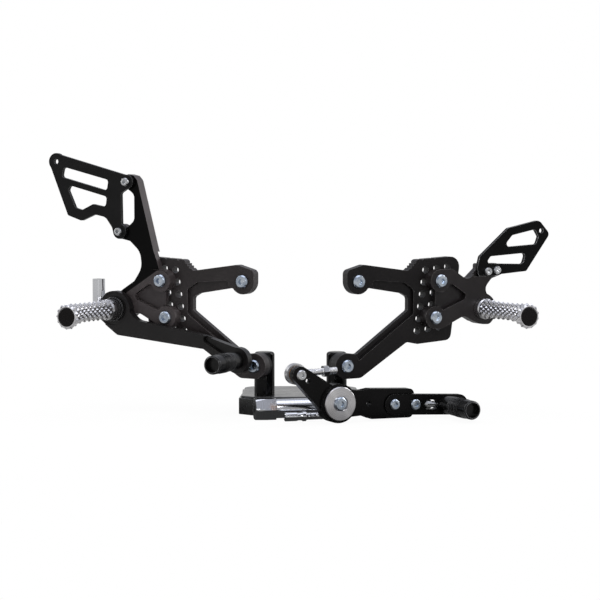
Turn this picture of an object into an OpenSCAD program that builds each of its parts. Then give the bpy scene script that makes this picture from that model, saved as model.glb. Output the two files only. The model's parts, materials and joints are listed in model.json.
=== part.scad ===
// Pair of adjustable rear sets on a display base: brake side, shift side and shift lever.
// Bracket coordinates: x outwards to the heel, y up, z out of the bracket towards the rider's boot.

/* [Display base] */
// Width of the base block
base_w = 121; // [112:1:150]
// Depth of the base block
base_d = 96; // [86:1:130]
// Height of the base block
base_h = 18; // [12:1:26]
// Radius of the base's back corners
base_back_r = 16; // [6:1:24]
// Length of the slanted front corners
base_cut = 13; // [6:1:18]
// Width of the bevel round the top
base_bevel = 2; // [1:0.5:4]

/* [Posts] */
// Diameter of each upright post
post_d = 20; // [18:1:22]
// Distance of each post's axis from the base's side
post_inset = 25; // [20:0.5:27]
// Distance of the posts behind the base's middle
post_y = -26.5; // [-30:0.5:-20]
// How far a post is sunk into the base
post_socket = 8; // [4:1:10]
// Depth of the flat that the spacer seats on
post_flat = 2; // [1:0.5:3]

/* [Stance] */
// Toe-out angle of each bracket
yaw = 25; // [15:1:35]
// Height of the lower mounting bolt
mount_z = 48; // [44:1:60]

/* [Frame bracket] */
// Thickness of the bracket plate
bracket_t = 10; // [8:0.5:11]
// Radius of the bracket's two end bosses
boss_r = 12.4; // [11:0.1:13]
// Outward place of the forward bolt
fwd_u = 12.4; // [8:0.5:16]
// Height of the forward bolt over the lower one
fwd_v = 82; // [78:1:86]
// Spacer between bracket and post
spacer_t = 5; // [3:0.5:8]
// Depth of the milled flange round the gap between the arms
mill_depth = 4; // [2:0.5:5]
// Pitch of the adjusting holes along a row
row_pitch = 12.5; // [11.5:0.1:13]
// Pitch of the adjusting holes up a column
col_pitch = 12.2; // [11.5:0.1:13]
// Slope of the rows
row_slope = 6.5; // [3:0.5:8]
// Lean of the columns
col_lean = 9; // [6:0.5:11]
// Radius of an adjusting hole
grid_r = 3.4; // [2.8:0.1:3.6]

/* [Peg carrier] */
// Thickness of the peg carrier
carrier_t = 12; // [10:0.5:14]
// Radius of the carrier's bolt bosses
carrier_boss_r = 11; // [10:0.2:12]
// Radius of the carrier's peg boss
peg_boss_r = 15.5; // [14.5:0.2:16]
// Outward place of the foot peg
peg_u = 145.5; // [143:0.5:148]
// Height of the foot peg over the lower bolt
peg_v = 53; // [51:0.5:55]
// How far the left guard's arm stands back behind the carrier
arm_back = 4; // [2:0.5:6]
// Depth of the carrier's triangular window
window_depth = 6; // [3:0.5:8]

/* [Heel guards] */
// Thickness of a heel guard plate
guard_t = 4; // [3:0.5:5]

/* [Foot pegs] */
// Length of a foot peg
peg_len = 85; // [78:1:95]
// Radius of the peg at its root
peg_root_r = 8.8; // [8.4:0.1:10]
// Radius of the peg at its waist
peg_waist_r = 7.4; // [6.8:0.1:8.4]
// Radius of the peg at its outer end
peg_end_r = 11.6; // [11:0.1:13]
// How far the outer end hangs below the peg's axis
peg_drop = 2.6; // [0:0.1:3.5]
// Number of turned grooves along the peg
peg_grooves = 14; // [8:1:16]
// Depth of a turned groove
groove_depth = 1; // [0.5:0.1:1.2]
// Radius of the peg's pivot spigot
spigot_r = 8; // [7:0.5:8.5]
// Radius of the peg's end cap
cap_r = 9.2; // [8:0.1:9.6]

/* [Brake pedal] */
// Thickness of the brake pedal
pedal_t = 8.7; // [7.5:0.1:10]
// Radius of the pedal's hub
pedal_hub_r = 18; // [17:0.5:19]
// Radius of the washer in front of the pedal's hub
washer_r = 12.2; // [11.4:0.1:12.6]
// Thickness of the washer
washer_t = 2.6; // [1.5:0.1:3]
// Radius of the pedal's toe boss
toe_boss_r = 12.5; // [11:0.5:14]
// Outward place of the brake toe peg
toe_u = 8.3; // [6:0.5:12]
// Height of the brake toe peg over the lower bolt
toe_v = 7.2; // [5:0.5:10]
// Wall of the pedal's pivot bush
bush_wall = 2; // [1.5:0.1:2.5]
// Length of the brake toe peg
brake_toe_len = 50; // [38:1:56]
// Radius of both toe pegs
toe_r = 9; // [8:0.2:9.6]

/* [Brake push rod fork] */
// Radius of the fork's round body
fork_r = 6.2; // [5.8:0.1:6.3]
// Distance of the fork's pin outside the foot peg
fork_reach = 20; // [19.8:0.1:24]
// Height of the fork over its pin
fork_h = 32; // [26:1:40]
// Height of the fork's slot over its pin
fork_slot = 20.5; // [20:0.5:22]
// Radius of the fork's threaded hole
fork_tap_r = 2.6; // [2.1:0.1:3]
// Thickness of the pedal's ear inside the fork
ear_t = 5.6; // [4.5:0.1:6]

/* [Shift lever] */
// Radius of the lever's hub
hub_r = 18.5; // [17.5:0.1:20]
// Length of the lever's hub
hub_t = 14; // [13.5:0.1:16]
// Sideways place of the hub
hub_x = 36.7; // [32:0.1:42]
// Distance of the hub in front of the base
hub_gap = 58; // [56:1:75]
// Thickness of the lever's arms
lever_t = 8; // [7:0.5:9]
// Radius of the silver cover disc
disc_r = 16; // [15:0.1:17]
// Thickness of the silver cover disc
disc_t = 2.5; // [2:0.1:3.5]
// Outer radius of a hub bearing
bearing_or = 12; // [11:0.1:13]
// Bore radius of a hub bearing
bearing_ir = 6; // [5.5:0.1:7]
// Width of a hub bearing
bearing_w = 6; // [5:0.1:6.2]

/* [Lever extension] */
// Half height of the extension bar
ext_r = 9.9; // [9:0.1:10.5]
// Thickness of the extension bar
ext_t = 6; // [5:0.1:6.5]
// Place of the extension's inner bolt
ext_u0 = 58; // [56:0.5:62]
// Distance between the extension's two bolts
ext_bolt_gap = 22.5; // [20:0.5:23]
// Length between the extension's round ends
ext_len = 71; // [67:0.1:78]
// Downward slope of the lever's right arm
arm_drop = 3; // [2:0.1:4]
// Length of the shift toe peg
shift_toe_len = 50; // [38:1:56]
// Distance of the shift toe peg from the inner bolt
toe_from_bolt = 56.5; // [54:0.5:58]

/* [Rod end] */
// Radius of the rod end's eye
eye_r = 10; // [9.4:0.1:11]
// Outer radius of the bronze race
race_r = 8.1; // [7.6:0.1:8.4]
// Radius of the ball
ball_r = 6.6; // [6:0.1:6.9]
// Width of the ball
ball_w = 9; // [8:0.1:9.4]
// Radius of the threaded stud
stud_r = 3; // [2.5:0.1:3.2]
// Reach of the stud from the ball's middle
stud_len = 42.5; // [38:0.5:48]

/* [Loose rods] */
// Width across flats of the bar's hexagon end
hex_af = 20; // [18:0.5:21]
// Length of the hexagon end
hex_len = 20; // [14:1:26]
// Length of the whole extension bar
bar_len = 84; // [70:1:86]
// Radius of the bar's round body
bar_r = 9.25; // [8.5:0.05:9.8]
// Length of the adjuster rod
adjuster_len = 58; // [48:1:64]
// Radius of the adjuster rod's collar
collar_r = 4.6; // [4.2:0.1:5]

/* [Fasteners] */
// Radius of an 8 mm screw's shank
m8_r = 3.9; // [3.8:0.05:3.95]
// Radius of an 8 mm screw's head
m8_head_r = 6.5; // [6:0.1:6.8]
// Height of a low screw head
low_head_h = 3.6; // [3:0.1:4.2]
// Radius of a 5 mm screw's head
m5_head_r = 4.3; // [4:0.1:4.6]
// Radius of a 5 mm screw's shank
m5_r = 2.4; // [2.2:0.05:2.45]

/* [Hidden] */

$fn = 48;
eps = 0.01;
run_gap = 0.05;          // radial clearance of a shaft in its bore
side_gap = 0.3;          // side clearance between moving pieces
seat_gap = 0.3;          // clearance of a screw's shank in a plain hole
thread_gap = 0.05;       // clearance of a shank in its tapped hole
black = "#1b1a1b";
silver = "#c9cbd0";
zinc = "#b9c4d2";
bronze = "#a9774a";

post_x = base_w / 2 - post_inset;

// Distance from a post's axis to the bracket's outer face.
stand_off = post_d / 2 - post_flat + spacer_t + bracket_t;
mount_x = post_x + stand_off * sin(yaw);
mount_y = post_y - stand_off * cos(yaw);
bolt_a = [97.3, 81.6];   // upper carrier bolt
col_step = col_pitch * [sin(col_lean), cos(col_lean)];
row_step = row_pitch * [cos(row_slope), sin(row_slope)];
bolt_b = bolt_a - 3 * col_step;
peg_c = [peg_u, peg_v];
arm_face = carrier_t - guard_t;      // face that a heel guard seats on
pedal_z = carrier_t + side_gap;      // back of the brake pedal
pedal_face = pedal_z + pedal_t;
left_peg_z = pedal_face + side_gap + washer_t;   // shoulder of the brake side peg
left_peg_len = peg_len - washer_t;
toe_c = [toe_u, toe_v];
fork_c = [peg_u + fork_reach, peg_v - 2.5];
bush_r = spigot_r + run_gap + bush_wall;
guard_bolt_1 = [135.7, 179.2];
guard_bolt_2 = [143.9, 130];
right_guard_bolts_at = [[150.4, 90.2], [160.8, 91.2]];
m8_tap_r = 3.4;
m5_tap_r = 2.1;
hub_y = -base_d / 2 - hub_gap;
hub_z = hub_r + side_gap;
lever_front = -3;
lever_back = lever_front - lever_t;
eye_c = [-38.5, 28.3];
ball_z = lever_back - ball_w / 2;
stud_rise = 2.3;         // upward slope of the stud
nut_at = 28.5;           // place of the lock nut along the stud
relief_w = 0.8;          // width of a thread relief
ext_back = 0.5 - ext_t;
ext_c = [ext_u0, -3.7];
window_u = 36.6;         // middle of the round end of the extension's window
window_r = 4.6;

// Rounded outlines. Each point is [x, y, radius of its corner].
function unit(v) = v / norm(v);
function turn(a) = a > 180 ? a - 360 : a < -180 ? a + 360 : a;
function bend(a, b, c, radius, steps) =
    let (p = unit(a - b), q = unit(c - b), half = acos(max(-1, min(1, p * q))) / 2,
         r = min(radius, 0.49 * min(norm(a - b), norm(c - b)) * tan(half)),
         o = b + unit(p + q) * r / sin(half), s = b + p * r / tan(half) - o, e = b + q * r / tan(half) - o,
         from = atan2(s[1], s[0]), sweep = turn(atan2(e[1], e[0]) - from))
    [for (i = [0:steps]) o + r * [cos(from + sweep * i / steps), sin(from + sweep * i / steps)]];
function xy(p) = [p[0], p[1]];
function outline(pts, steps = 6) =
    [for (i = [0:len(pts) - 1])
        let (n = len(pts), a = xy(pts[(i + n - 1) % n]), b = xy(pts[i]), c = xy(pts[(i + 1) % n]))
        each pts[i][2] > 0 ? bend(a, b, c, pts[i][2], steps) : [b]];

module plate(pts, z0, z1) { translate([0, 0, z0]) linear_extrude(z1 - z0) polygon(outline(pts)); }

module at(p, z = 0) { translate([p[0], p[1], z]) children(); }

module disc(p, r, z0, z1) { at(p, z0) cylinder(r = r, h = z1 - z0); }

// Straight slot with round ends from p to q.
module slot(p, q, w, z0, z1) {
    d = q - p;
    at(p, z0) rotate(atan2(d[1], d[0])) linear_extrude(z1 - z0)
        polygon([for (end = [0, 1], a = [-90:9:90]) let (t = a + 180 * (1 - end))
            [end * norm(d) + w / 2 * cos(t), w / 2 * sin(t)]]);
}

// Puts children given in bracket coordinates on the left (-1) or right (1) side.
module on_side(s) {
    mirror([s < 0 ? 1 : 0, 0, 0]) translate([mount_x, mount_y, mount_z]) rotate([90, 0, yaw]) children();
}

// Puts children given in lever coordinates at the shift lever's hub.
module on_lever() { translate([hub_x, hub_y, hub_z]) rotate([90, 0, yaw]) children(); }

// Thread relief: a groove round a shank of radius r, from z = 0 downwards.
module relief(r) {
    difference() {
        translate([0, 0, -relief_w]) cylinder(r = r + 1, h = relief_w);
        translate([0, 0, -relief_w - 1]) cylinder(r = r - 0.4, h = relief_w + 2);
    }
}

// Socket screw with its head's underside at z = 0, pointing down. The tip is turned down to tip_r.
// A free threaded end starts with a relief groove at depth free_from.
module screw(head_r, head_h, shank_r, plain, tip_r, tip, free_from = 0) {
    difference() {
        union() {
            cylinder(r = head_r, h = head_h * 0.6);
            translate([0, 0, head_h * 0.6]) cylinder(r1 = head_r, r2 = head_r * 0.8, h = head_h * 0.4);
            translate([0, 0, -plain]) cylinder(r = shank_r, h = plain + eps);
            translate([0, 0, -plain - tip]) cylinder(r = tip_r, h = tip + eps);
        }
        translate([0, 0, head_h * 0.35]) cylinder(r = head_r * 0.45, h = head_h, $fn = 6);
        if (free_from > 0) translate([0, 0, -free_from]) relief(shank_r);
    }
}

module base_block() {
    w = base_w / 2;
    d = base_d / 2;
    side = [[-w + base_cut, -d, 2], [w - base_cut, -d, 2], [w, -d + base_cut * 0.8, 3],
        [w - 2, 4, 30], [w - 1, d, base_back_r], [1 - w, d, base_back_r], [2 - w, 4, 30],
        [-w, -d + base_cut * 0.8, 3]];
    color(black) difference() {
        union() {
            plate(side, 0, base_h - base_bevel);
            translate([0, 0, base_h - base_bevel]) linear_extrude(base_bevel)
                polygon([for (p = outline(side)) [p[0] * (1 - base_bevel / w),
                    p[1] * (1 - base_bevel / d)]]);
        }
        for (s = [-1, 1]) translate([s * post_x, post_y, base_h - post_socket]) cylinder(d = post_d,
            h = post_socket + 1);
    }
}

module post(s) {
    top = mount_z + boss_r;
    dome = 3;
    color(black) difference() {
        translate([s * post_x, post_y, base_h - post_socket]) rotate_extrude()
            polygon(concat([[0, 0], [post_d / 2, 0]],
                [for (i = [0:6]) [post_d / 2 - dome + dome * cos(15 * i),
                top - base_h + post_socket - dome + dome * sin(15 * i)]],
                [[0, top - base_h + post_socket]]));
        on_side(s) {
            translate([-post_d, -boss_r - 1, -bracket_t - spacer_t]) cube([2 * post_d, 2 * boss_r + 2, 20]);
            disc([0, 0], m8_tap_r, -bracket_t - spacer_t - 14, 0);
        }
    }
}

module spacer(s) {
    color(black) on_side(s) difference() {
        disc([0, 0], boss_r, -bracket_t - spacer_t, -bracket_t);
        disc([0, 0], m8_r + seat_gap, -bracket_t - spacer_t - 1, 1 - bracket_t);
    }
}

module frame_bracket(s) {
    fwd = [fwd_u, fwd_v];
    top = fwd_v + boss_r;
    edge = [67, 91.8];
    corner = [77.5, 102.6];
    rim = [[0, -boss_r, 0], [15, -12.2, 9], [66, 21.2, 5], [78, 18.8, 4], [115.5, 21.8, 7],
        [127, 105.8, 10],
        [corner[0], corner[1], 4], [edge[0], edge[1], 2], [18.5, top + 4, 6],
        [fwd_u - boss_r, top - 1.6, 5],
        [fwd_u - boss_r, fwd_v, 0], [fwd_u, fwd_v - boss_r, 0], [24, fwd_v - 6.4, 0], [62, 69.4, 3],
        [69, 65.5, 4],
        [69, 52.3, 3], [12.4, 10.9, 4], [0, boss_r, 0]];
    flange = [[20, 60, 0], [29, fwd_v + 1, 3], [63, 80.3, 4], [73.5, 73, 4], [73.5, 49.1, 4], [8, 1.2, 0],
        [2, 12, 0], [40, 50, 0]];
    color(black) on_side(s) difference() {
        union() {
            plate(rim, -bracket_t, 0);
            disc(fwd, boss_r, -bracket_t, 0);
            disc([0, 0], boss_r, -bracket_t, 0);
        }
        difference() {
            plate(flange, -mill_depth, 1);
            disc(fwd, boss_r + 1.5, -mill_depth - 1, 2);
            disc([0, 0], boss_r + 1.5, -mill_depth - 1, 2);
        }
        for (t = [0.3, 0.52, 0.74]) disc(edge + t * (corner - edge), 1.1, -bracket_t - 1, 1);
        for (t = [0.12, 0.4]) disc(corner + t * ([127, 105.8] - corner), 1.1, -bracket_t - 1, 1);
        for (c = [0:2], r = [0:5])
            disc(bolt_a - row_step - 4 * col_step + c * row_step + r * col_step, grid_r, -bracket_t - 1, 1);
        disc(fwd, m8_r + seat_gap, -bracket_t - 1, 1);
        disc([0, 0], m8_r + seat_gap, -bracket_t - 1, 1);
    }
}

module frame_bolts(s) {
    grip = bracket_t + spacer_t;
    color(zinc) on_side(s) {
        screw(m8_head_r, low_head_h, m8_r, grip, m8_tap_r - thread_gap, 12);
        at([fwd_u, fwd_v]) screw(m8_head_r, low_head_h, m8_r, bracket_t + 14, m8_r - 0.4, 2, bracket_t);
    }
}

// The two bolt bosses, the peg boss and the triangular window are common to both carriers.
module carrier_body(rim) {
    difference() {
        union() {
            plate(rim, 0, carrier_t);
            disc(bolt_a, carrier_boss_r, 0, carrier_t);
            disc(bolt_b, carrier_boss_r, 0, carrier_t);
            disc(peg_c, peg_boss_r, 0, carrier_t);
            children();
        }
        difference() {
            plate([[127, 67.5, 3], [110.9, 78.2, 4], [106.6, 77.6, 2], [100.5, 72.6, 2], [90, 71.4, 0],
                [90, 57.5, 0], [94.3, 57.5, 0], [100.3, 52.6, 2], [124.5, 62.5, 3]],
                carrier_t - window_depth, carrier_t + 1);
            disc(bolt_a, carrier_boss_r, 0, carrier_t + 2);
            disc(bolt_b, carrier_boss_r, 0, carrier_t + 2);
        }
        for (p = [bolt_a, bolt_b]) disc(p, m8_r + seat_gap, -1, carrier_t + 1);
        disc(peg_c, m8_r + seat_gap, -1, carrier_t + 1);
    }
}

module left_peg_carrier() {
    rim = [[97, 92.6, 0], [109, 92.6, 8], [140, 72.5, 10], [152, 64, 0], [152, 44, 0], [138, 40.5, 0],
        [124, 50.5, 9],
        [101, 38.5, 0], [92, 34.6, 0], [92, 46, 0], [94.5, 57, 0], [94.5, 72, 0], [90, 82, 0]];
    arm = [[125.5, 181, 4], [129.5, 185.5, 3], [135.7, 187, 0], [142, 178, 0], [136, 172, 3],
        [129, 167, 7], [129, 141, 7],
        [137, 134, 3], [143, 131, 0], [143, 122.5, 0], [134, 120.5, 3], [122.5, 110, 16],
        [120.5, 94, 18], [134, 74, 0],
        [120, 70, 0], [100, 88, 0], [103.5, 101, 5], [107.5, 112, 5]];
    fork_back = pedal_z + pedal_t / 2 - fork_r - side_gap;
    color(black) on_side(-1) difference() {
        carrier_body(rim) {
            plate(arm, 0, arm_face);
            intersection() {
                plate(arm, -arm_back, 1);
                translate([90, 110, -arm_back - 1]) cube([60, 80, 20]);
            }
            disc(guard_bolt_1, 7.5, 0, arm_face);
            disc(guard_bolt_2, 7.6, 0, arm_face);
        }
        for (p = [guard_bolt_1, guard_bolt_2]) disc(p, m5_tap_r, -arm_back - 1, arm_face + 1);
        translate([fork_c[0] - 7.5, fork_c[1] - 20, fork_back]) cube([12, 40, 12]);
    }
}

module right_peg_carrier() {
    rim = [[97.3, 92.6, 0], [110.4, 93.3, 7], [128.5, 81.5, 7], [141, 93, 2], [141, 98, 2],
        [166, 98, 3], [166.5, 86, 6],
        [156, 83.2, 5], [146.5, 72, 9], [157.5, 60.5, 6], [163, 47, 7], [154, 37, 6], [146, 37.2, 0],
        [135, 40.5, 6], [124.5, 46.5, 10],
        [98, 34, 0], [91.8, 34.6, 0], [91.8, 46, 0], [94.5, 57, 0], [94.5, 72, 0], [90, 82, 0]];
    color(black) on_side(1) difference() {
        carrier_body(rim);
        plate([[135, 85, 0], [172, 85, 0], [172, 102, 0], [135, 102, 0]], arm_face, carrier_t + 1);
        for (p = right_guard_bolts_at) disc(p, m5_tap_r, -1, arm_face + 1);
    }
}

module carrier_bolts(s) {
    color(zinc) on_side(s) for (p = [bolt_a, bolt_b])
        at(p, carrier_t) screw(m8_head_r, low_head_h, m8_r, carrier_t, grid_r - thread_gap, bracket_t);
}

module left_heel_guard() {
    hole = [218.2, 200.3];
    rim = [[219.5, 208.8, 0], [226.6, 199.5, 0], [204.5, 145.9, 3], [188.3, 140.4, 5],
        [172.8, 146.8, 5], [160, 144.2, 9],
        [152.5, 134, 8], [151, 128, 0], [143.9, 122.6, 0], [138, 131, 0], [141.5, 138, 3],
        [142, 168, 3], [135.7, 172, 0],
        [129, 179, 0], [137.3, 186.4, 2]];
    color(black) on_side(-1) difference() {
        union() {
            plate(rim, arm_face, carrier_t);
            disc(hole, 8.6, arm_face, carrier_t);
            disc(guard_bolt_1, 7.2, arm_face, carrier_t);
            disc(guard_bolt_2, 7.4, arm_face, carrier_t);
        }
        plate([[209.4, 194.9, 3], [156.5, 181.3, 3], [158.3, 170.6, 3], [211.6, 184.6, 3]],
            0, carrier_t + 1);
        plate([[201.5, 176, 3], [158.4, 164.6, 3], [159.8, 154.4, 3], [174.7, 157.3, 2], [187.8, 151.3, 2],
            [195.7, 153.6, 3], [204, 171.5, 3]], 0, carrier_t + 1);
        disc(hole, 2.6, 0, carrier_t + 1);
        for (p = [guard_bolt_1, guard_bolt_2]) disc(p, m5_r + 0.2, 0, carrier_t + 1);
    }
}

module right_heel_guard() {
    rim = [[140.6, 85.3, 3], [139.4, 94, 2], [142.2, 105.2, 3], [175, 133.2, 3], [212, 141.2, 7],
        [225, 127, 5],
        [197, 89.5, 3], [167.5, 87, 4], [163, 85.3, 0]];
    color(black) on_side(1) difference() {
        plate(rim, arm_face, carrier_t);
        plate([[169.5, 114, 3], [180, 125.9, 3], [206.8, 131.6, 3], [211.3, 124.4, 2], [208.5, 116.6, 3]],
            0, carrier_t + 1);
        plate([[149.5, 98, 3], [154.6, 105, 3], [196.4, 108, 3], [192.6, 96.9, 3]], 0, carrier_t + 1);
        disc([214.6, 130.3], 2.4, 0, carrier_t + 1);
        for (p = right_guard_bolts_at) disc(p, m5_r + 0.2, 0, carrier_t + 1);
    }
}

module guard_bolts(s) {
    spots = s < 0 ? [guard_bolt_1, guard_bolt_2] : right_guard_bolts_at;
    color(silver) on_side(s) for (p = spots)
        at(p, carrier_t) screw(m5_head_r, 4.6, m5_r, guard_t, m5_tap_r - thread_gap, arm_face);
}

// Radius of a foot peg's grip at a share t of its length, and the drop of its axis there.
function grip_r(t) = peg_waist_r + (peg_root_r - peg_waist_r) * pow(max(0, 1 - t / 0.5), 2)
    + (peg_end_r - peg_waist_r) * pow(max(0, (t - 0.55) / 0.45), 2);
function grip_drop(t) = peg_drop * pow(max(0, (t - 0.55) / 0.45), 2);

// Turned peg: plain root, grooved grip with a waist, flared outer end that hangs below the axis.
module foot_peg(s) {
    z0 = s < 0 ? left_peg_z : carrier_t;
    len = s < 0 ? left_peg_len : peg_len;
    root = 9;
    step = (len - root - 2) / peg_grooves;
    cut = 1.1;
    color(silver) on_side(s) at(peg_c, z0) difference() {
        union() {
            rotate_extrude() polygon([[0, 0], [peg_root_r, 0], [peg_root_r + 0.4, 0.6],
                [peg_root_r, root], [0, root]]);
            for (i = [0:peg_grooves - 1]) let (t = i / peg_grooves, z = root + i * step) translate([0,
                -grip_drop(t), z]) {
                translate([0, 0, -eps]) cylinder(r = grip_r(t) - groove_depth, h = cut + 2 * eps);
                translate([0, 0, cut]) cylinder(r1 = grip_r(t), r2 = grip_r(t + 1 / peg_grooves),
                    h = step - cut);
            }
            translate([0, -peg_drop, len - 2 - eps]) cylinder(r1 = peg_end_r, r2 = peg_end_r - 0.8,
                h = 2 + eps);
            if (s < 0) translate([0, 0, carrier_t - left_peg_z]) cylinder(r = spigot_r,
                h = left_peg_z - carrier_t + eps);
        }
        translate([0, -peg_drop, len - 2]) cylinder(r = cap_r + run_gap, h = 3);
        translate([0, 0, carrier_t - left_peg_z - 1]) cylinder(r = m8_r + thread_gap, h = 40);
    }
}

module peg_cap(s) {
    z0 = s < 0 ? left_peg_z + left_peg_len : carrier_t + peg_len;
    color(black) on_side(s) at([peg_c[0], peg_c[1] - peg_drop], z0 - 2) {
        cylinder(r = cap_r, h = 2);
        translate([0, 0, 2 - eps]) cylinder(r1 = cap_r, r2 = cap_r - 1.2, h = 0.9);
    }
}

module peg_bolt(s) {
    reach = s < 0 ? left_peg_z : carrier_t;
    color(zinc) on_side(s) at(peg_c) rotate([180, 0, 0]) screw(m8_head_r, 5, m8_r, reach + 20,
        m8_r - 0.4, 3);
}

// Black washer between the pedal's hub and the peg's shoulder.
module pedal_washer() {
    color(black) on_side(-1) at(peg_c, pedal_face + side_gap) difference() {
        union() {
            cylinder(r = washer_r, h = washer_t - 0.8);
            translate([0, 0, washer_t - 0.8]) cylinder(r1 = washer_r, r2 = washer_r - 0.8, h = 0.8);
        }
        translate([0, 0, -1]) cylinder(r = spigot_r + run_gap, h = washer_t + 2);
    }
}

module brake_pedal() {
    rim = [[peg_u, 70.3, 0], [128.8, 52, 0], [119.5, 42.4, 12], [46, 30.6, 14], [8, 19.2, 0],
        [-1, 13, 0], [4, -3, 0],
        [13, -1.6, 0], [33.2, 9.6, 6], [42.5, 16.6, 6], [141.7, 27.2, 6], [157, 38.2, 6], [163, 43, 0],
        [fork_c[0], fork_c[1] - 6, 0], [fork_c[0], fork_c[1] + 6, 0], [157, 61, 0]];
    ear_z = pedal_z + (pedal_t - ear_t) / 2;
    ear_cut = peg_u + fork_reach - 10;
    color(black) on_side(-1) difference() {
        union() {
            plate(rim, pedal_z, pedal_face);
            disc(peg_c, pedal_hub_r, pedal_z, pedal_face);
            disc(toe_c, toe_boss_r, pedal_z, pedal_face);
            disc(fork_c, 8, pedal_z, pedal_face);
        }
        translate([ear_cut, peg_v - 30, pedal_z - 1]) cube([40, 60, ear_z - pedal_z + 1]);
        translate([ear_cut, peg_v - 30, ear_z + ear_t]) cube([40, 60, 20]);
        slot([41, 26.4], [18.5, 13.6], 7, pedal_face - 4.5, pedal_face + 1);
        disc(peg_c, bush_r, pedal_z - 1, pedal_face + 1);
        difference() {
            disc(peg_c, pedal_hub_r - 1.6, pedal_face - 1, pedal_face + 1);
            disc(peg_c, washer_r + 0.6, pedal_face - 2, pedal_face + 2);
        }
        disc(fork_c, m5_r + run_gap, pedal_z - 1, pedal_face + 1);
        disc(toe_c, 3.3, pedal_z - 1, pedal_face + 1);
    }
}

module pedal_bush() {
    color(bronze) on_side(-1) difference() {
        disc(peg_c, bush_r, pedal_z, pedal_face);
        disc(peg_c, spigot_r + run_gap, pedal_z - 1, pedal_face + 1);
    }
}

// Ribbed toe peg with a blind end, its foot at z = 0.
module toe_peg(length) {
    ribs = 7;
    pitch = 3;
    start = length - 12 - ribs * pitch;
    difference() {
        rotate_extrude() polygon(concat([[0, 0], [toe_r - 1.5, 0], [toe_r - 0.6, 1]],
            [for (i = [0:ribs - 1], k = [0:3])
                [toe_r - (k == 0 || k == 3 ? 0 : 0.7), start + i * pitch + [0, 0.4, 1.5, 1.9][k]]],
            [[toe_r, length - 1.2], [toe_r - 1.2, length], [0, length]]));
        translate([0, 0, -1]) cylinder(r = 2.6, h = 19);
        translate([0, 0, length - 6]) cylinder(r = toe_r - 1.8, h = 7);
    }
}

module brake_toe_peg() { color(black) on_side(-1) at(toe_c, pedal_face) toe_peg(brake_toe_len); }

module brake_toe_bolt() {
    color(silver) on_side(-1) at(toe_c, pedal_z) rotate([180, 0, 0]) screw(5.4, 3.2, 3, pedal_t, 2.55, 14);
}

module push_rod_fork() {
    mid = pedal_z + pedal_t / 2;
    slot_w = ear_t + 2 * side_gap;
    color(silver) on_side(-1) difference() {
        at([fork_c[0], fork_c[1] - 7], mid) rotate([-90, 0, 0]) cylinder(r = fork_r, h = fork_h + 7);
        translate([fork_c[0] - 10, fork_c[1] - 8, mid - slot_w / 2]) cube([20, 8 + fork_slot, slot_w]);
        disc(fork_c, m5_r + run_gap, mid - 10, mid + 10);
        at([fork_c[0], fork_c[1] + fork_slot - 1],
            mid) rotate([-90, 0, 0]) cylinder(r = fork_tap_r, h = fork_h - fork_slot + 2);
    }
}

module fork_pin() {
    mid = pedal_z + pedal_t / 2;
    color(zinc) on_side(-1) at(fork_c, mid + fork_r) {
        translate([0, 0, -2 * fork_r - 1]) cylinder(r = m5_r, h = 2 * fork_r + 1 + eps);
        cylinder(r = m5_r + 1.2, h = 1.4);
    }
}

module shift_lever() {
    lip = 0.8;
    tip = 8;
    long_arm = [[-34.4, 35.2, 0], [-10, 19.8, 5], [0, 14, 0], [0, -10, 0], [-15, -9, 0], [-45, 23.6, 0]];
    right_arm = [[0, 14, 0], [24, 11, 6], [33, 12.4, 4], [80.4, 10.2, 5], [79, -17.4, 5],
        [34, -16.6, 7], [24, -12.6, 6], [0, -14, 0]];
    color(black) on_lever() difference() {
        union() {
            disc([0, 0], hub_r, -hub_t, -0.4 - lip);
            disc([0, 0], hub_r - lip, -0.4 - lip - eps, -0.4);
            plate(long_arm, lever_back, lever_front);
            disc(eye_c, tip, lever_back, lever_front);
            plate(right_arm, lever_back, lever_front + 1.5);
        }
        difference() {
            disc([0, 0], hub_r + 2, -8.4, -7);
            disc([0, 0], hub_r - 1, -9, -6);
            translate([-60, -60, -20]) cube([60, 120, 40]);
            translate([0, -15, -20]) cube([60, 30, 40]);
        }
        disc([0, 0], bearing_or, -hub_t - 1, -hub_t + bearing_w + 0.4);
        disc([0, 0], bearing_or, -0.8 - bearing_w, 1);
        disc([0, 0], bearing_or - 1.6, -hub_t - 1, 1);
        at(ext_c, ext_back) rotate(-arm_drop) {
            cylinder(r = ext_r + 0.4, h = 20);
            translate([0, -ext_r - 0.4, 0]) cube([60, 2 * ext_r + 0.8, 20]);
            for (i = [0, 1]) translate([i * ext_bolt_gap, 0, -20]) cylinder(r = m5_tap_r, h = 30);
        }
        disc(eye_c, stud_r + run_gap, -20, 0);
        disc([-31, 22.6], 2.6, -20, 0);
        disc([31.6, -1.8], 2.6, -20, 0);
    }
}

module hub_bearing(z0) {
    color(silver) on_lever() difference() {
        disc([0, 0], bearing_or, z0, z0 + bearing_w);
        disc([0, 0], bearing_ir, z0 - 1, z0 + bearing_w + 1);
        disc([0, 0], bearing_or - 1.6, z0 + bearing_w - 0.4, z0 + bearing_w + 1);
        disc([0, 0], bearing_or - 1.6, z0 - 1, z0 + 0.4);
        disc([0, 0], bearing_ir + 1.4, z0 - 1, z0 - 0.5);
    }
}

module front_hub_bearing() { hub_bearing(-0.8 - bearing_w); }

module rear_hub_bearing() { hub_bearing(-hub_t + 0.4); }

module pivot_sleeve() {
    color(silver) on_lever() difference() {
        disc([0, 0], bearing_ir - run_gap, -hub_t - 3, 0);
        disc([0, 0], m8_r + run_gap, -hub_t - 4, 1);
    }
}

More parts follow.
